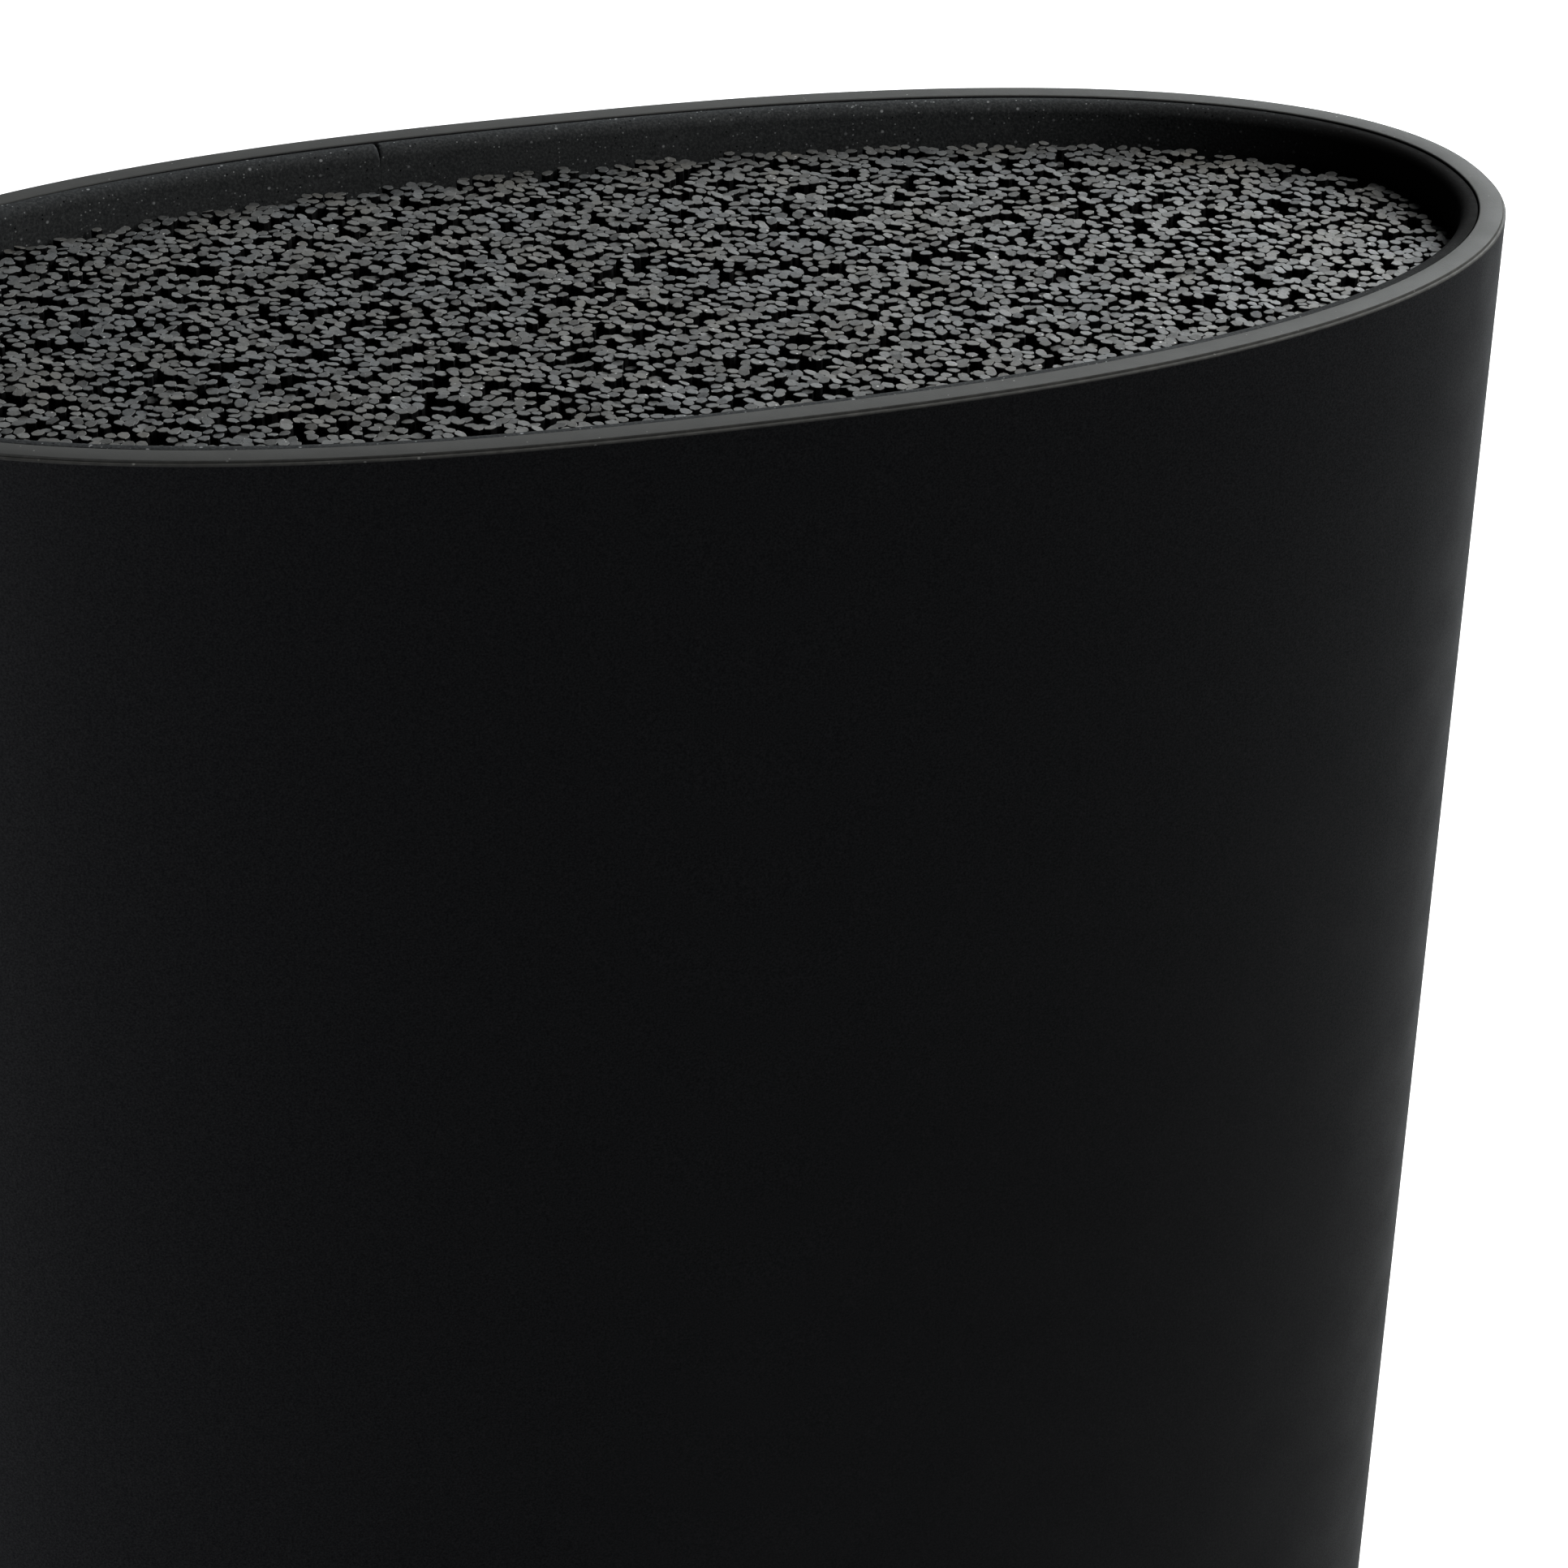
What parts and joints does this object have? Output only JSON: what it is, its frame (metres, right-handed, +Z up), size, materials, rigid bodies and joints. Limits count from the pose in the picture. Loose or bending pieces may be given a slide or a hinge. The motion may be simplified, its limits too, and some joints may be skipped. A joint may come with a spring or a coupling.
{
  "type": "knife block",
  "caption": "Oval tapered knife block with a lift-out insert of upright plastic filaments that hold blades pushed in anywhere.",
  "frame": {"origin": "centre of the footprint, on the table that the feet stand on", "axes": "+X along the long axis of the oval, +Y across it towards the sleeve's butt seam, +Z up"},
  "size_m": [0.18, 0.0826, 0.225],
  "materials": {
    "soft_touch_shell": "fine-grained soft-touch matte black",
    "rubber_feet": "matte black rubber",
    "sleeve_sheet": "satin black sheet",
    "fused_plate": "melted matte black",
    "filaments": "matt charcoal, cut ends paler than the sides"
  },
  "bodies": {
    "shell": {"outer_shell": "soft_touch_shell", "rubber_foot_1": "rubber_feet", "rubber_foot_2": "rubber_feet", "rubber_foot_3": "rubber_feet", "rubber_foot_4": "rubber_feet"},
    "insert": {"insert_sleeve": "sleeve_sheet", "filament_plate": "fused_plate", "hank_row1_1": "filaments", "hank_row1_2": "filaments", "hank_row1_3": "filaments", "hank_row1_4": "filaments", "hank_row1_5": "filaments", "hank_row1_6": "filaments", "hank_row2_1": "filaments", "hank_row2_2": "filaments", "hank_row2_3": "filaments", "hank_row2_4": "filaments", "hank_row2_5": "filaments", "hank_row2_6": "filaments", "hank_row2_7": "filaments", "hank_row2_8": "filaments", "hank_row3_1": "filaments", "hank_row3_2": "filaments", "hank_row3_3": "filaments", "hank_row3_4": "filaments", "hank_row3_5": "filaments", "hank_row3_6": "filaments", "hank_row3_7": "filaments", "hank_row3_8": "filaments", "hank_row4_1": "filaments", "hank_row4_2": "filaments", "hank_row4_3": "filaments", "hank_row4_4": "filaments", "hank_row4_5": "filaments", "hank_row4_6": "filaments", "hank_row4_7": "filaments", "hank_row4_8": "filaments", "hank_row5_1": "filaments", "hank_row5_2": "filaments", "hank_row5_3": "filaments", "hank_row5_4": "filaments", "hank_row5_5": "filaments", "hank_row5_6": "filaments"}
  },
  "joints": [
    {"name": "insert_lift", "type": "slide", "parent": "shell", "child": "insert", "axis": [0, 0, 1], "range_m": [0, 0.23]}
  ]
}
